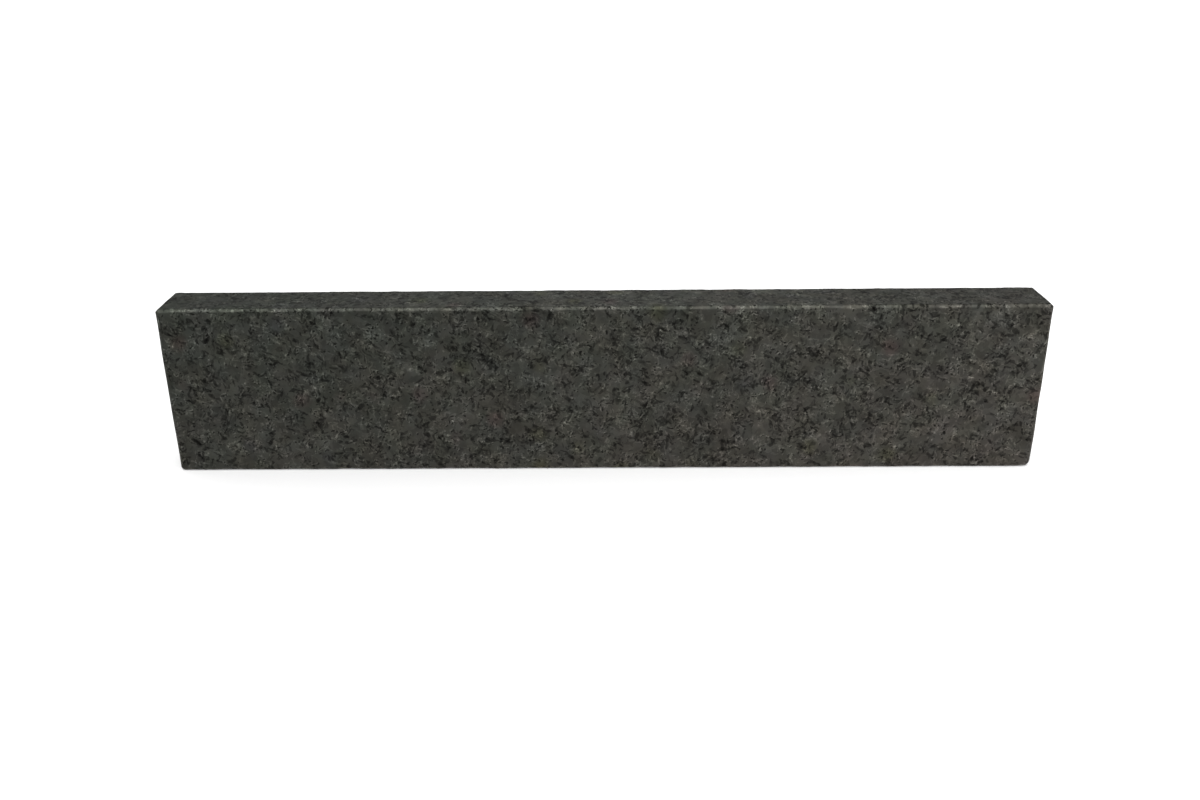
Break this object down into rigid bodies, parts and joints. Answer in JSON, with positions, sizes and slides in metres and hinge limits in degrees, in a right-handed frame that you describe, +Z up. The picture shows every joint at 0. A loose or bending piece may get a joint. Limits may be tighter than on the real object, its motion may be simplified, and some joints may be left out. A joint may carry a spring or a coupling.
{
  "type": "granite slab",
  "caption": "Solid honed granite block with eased edges, a heavy flat surface for tooling, punching and skiving leather; lies flat or stands on its long narrow edge.",
  "frame": {"origin": "centre of the base, the long narrow face that the slab stands on", "axes": "+X along the length, +Y through the thickness towards the back face, +Z up the height"},
  "size_m": [0.45, 0.03, 0.09],
  "materials": {
    "honed_granite": "honed, satin"
  },
  "bodies": {
    "root": {"granite_slab": "honed_granite"}
  },
  "joints": []
}
